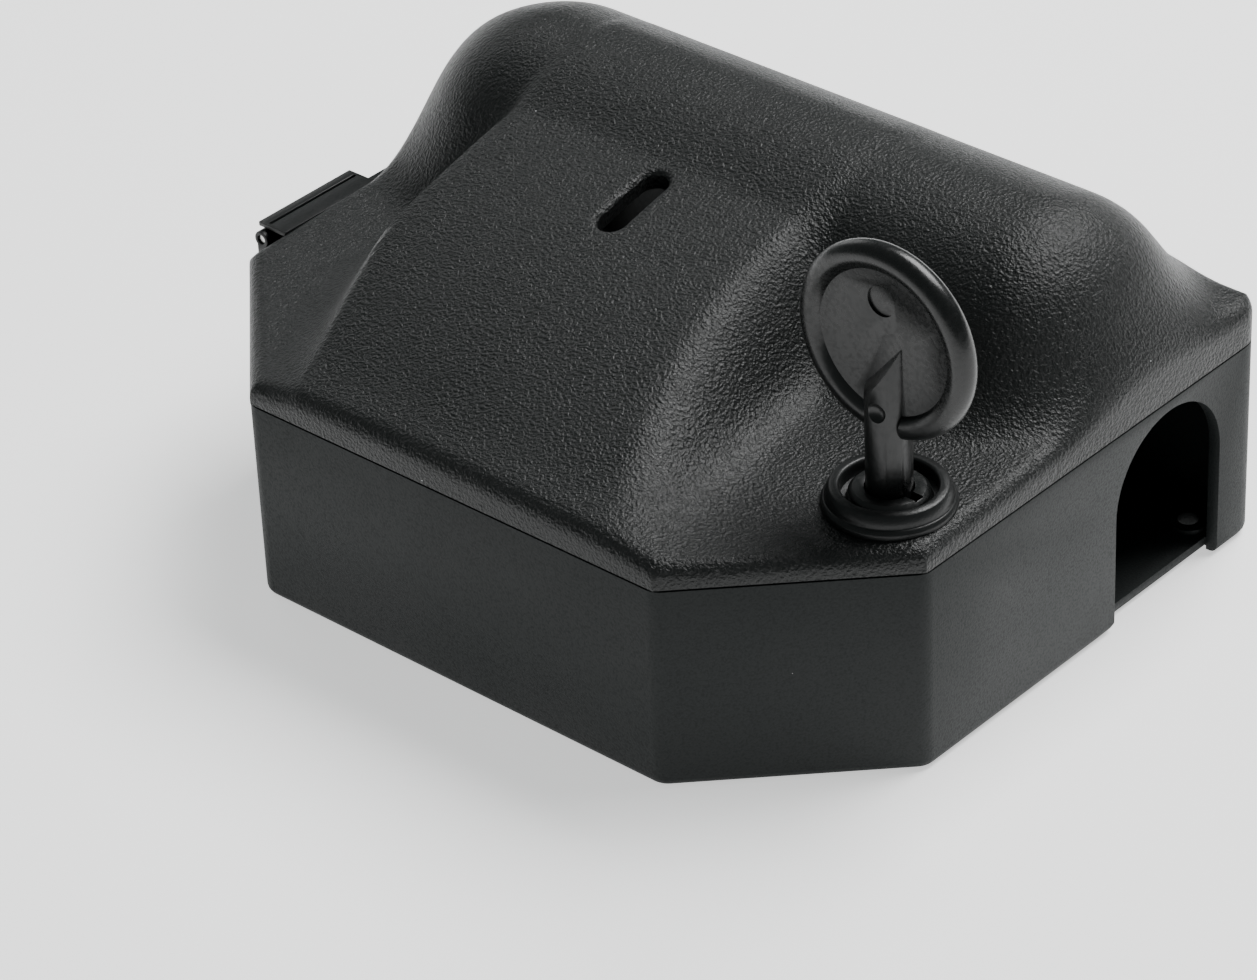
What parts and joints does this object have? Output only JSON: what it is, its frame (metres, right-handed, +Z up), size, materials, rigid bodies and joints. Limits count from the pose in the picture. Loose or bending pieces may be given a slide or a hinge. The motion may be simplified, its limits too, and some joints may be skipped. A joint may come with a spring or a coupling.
{
  "type": "rodent bait station",
  "caption": "Low lockable plastic box with cut front corners, arched entrances at both ends, a humped hinged lid with a turning key, and a sprung snap trap seated inside.",
  "frame": {"origin": "centre of the box's footprint, on the ground, on the underside ribs", "axes": "+X towards the lock side, +Y towards the tunnel at the back, +Z up"},
  "size_m": [0.1828, 0.139, 0.1033],
  "materials": {
    "box_plastic": "spark-eroded grain, charcoal",
    "key_plastic": "smooth moulded, near black",
    "trap_plastic": "smooth moulded, near black",
    "chrome_wire": "polished plating",
    "zinc_steel": "zinc plated",
    "yellow_sleeve": "smooth tube, warm yellow"
  },
  "bodies": {
    "base": {"base_shell": "box_plastic", "hinge_leaf_base": "box_plastic", "hinge_pin": "zinc_steel", "trap_base": "trap_plastic", "trap_screws": "zinc_steel", "trap_axle": "trap_plastic", "spring_left": "chrome_wire", "spring_right": "chrome_wire", "pedal_pin": "zinc_steel", "bait_cup": "trap_plastic", "catch_pin": "zinc_steel", "catch_wire": "chrome_wire"},
    "lid": {"lid_shell": "box_plastic", "hinge_leaf_lid": "box_plastic", "lock_collar": "box_plastic"},
    "lock": {"lock_plug": "key_plastic", "lock_retainer": "zinc_steel", "lock_cam": "zinc_steel", "lock_screw": "zinc_steel"},
    "key": {"key": "key_plastic"},
    "hammer": {"hammer_wire": "chrome_wire", "strike_sleeve": "yellow_sleeve"},
    "pedal": {"trip_pedal": "trap_plastic"},
    "catch": {"catch_lever": "trap_plastic"}
  },
  "joints": [
    {"name": "lid_hinge", "type": "hinge", "parent": "base", "child": "lid", "pos_m": [-0.0904, -0.013, 0.0461], "axis": [0, -1, 0], "range_deg": [0, 105]},
    {"name": "lock_turn", "type": "hinge", "parent": "lid", "child": "lock", "pos_m": [0.071, -0.0265, 0.045], "axis": [0, 0, 1], "range_deg": [0, 90]},
    {"name": "key_pull", "type": "slide", "parent": "lock", "child": "key", "axis": [0, 0, 1], "range_m": [0, 0.03]},
    {"name": "hammer_swing", "type": "hinge", "parent": "base", "child": "hammer", "pos_m": [-0.0145, 0.0039, 0.0153], "axis": [1, 0, 0], "range_deg": [0, 64], "stiffness_Nm_per_rad": 0.05, "springref_deg": -34.38, "deforming": ["spring_left", "spring_right"]},
    {"name": "pedal_press", "type": "hinge", "parent": "base", "child": "pedal", "pos_m": [-0.0145, 0.0085, 0.015], "axis": [-1, 0, 0], "range_deg": [0, 2], "stiffness_Nm_per_rad": 0.05, "springref_deg": -5.73},
    {"name": "catch_release", "type": "hinge", "parent": "base", "child": "catch", "pos_m": [-0.0145, -0.0135, 0.0143], "axis": [1, 0, 0], "range_deg": [0, 3.2]}
  ],
  "couplings": [
    {"joint": "catch_release", "follows": "pedal_press", "ratio": 1.5}
  ]
}
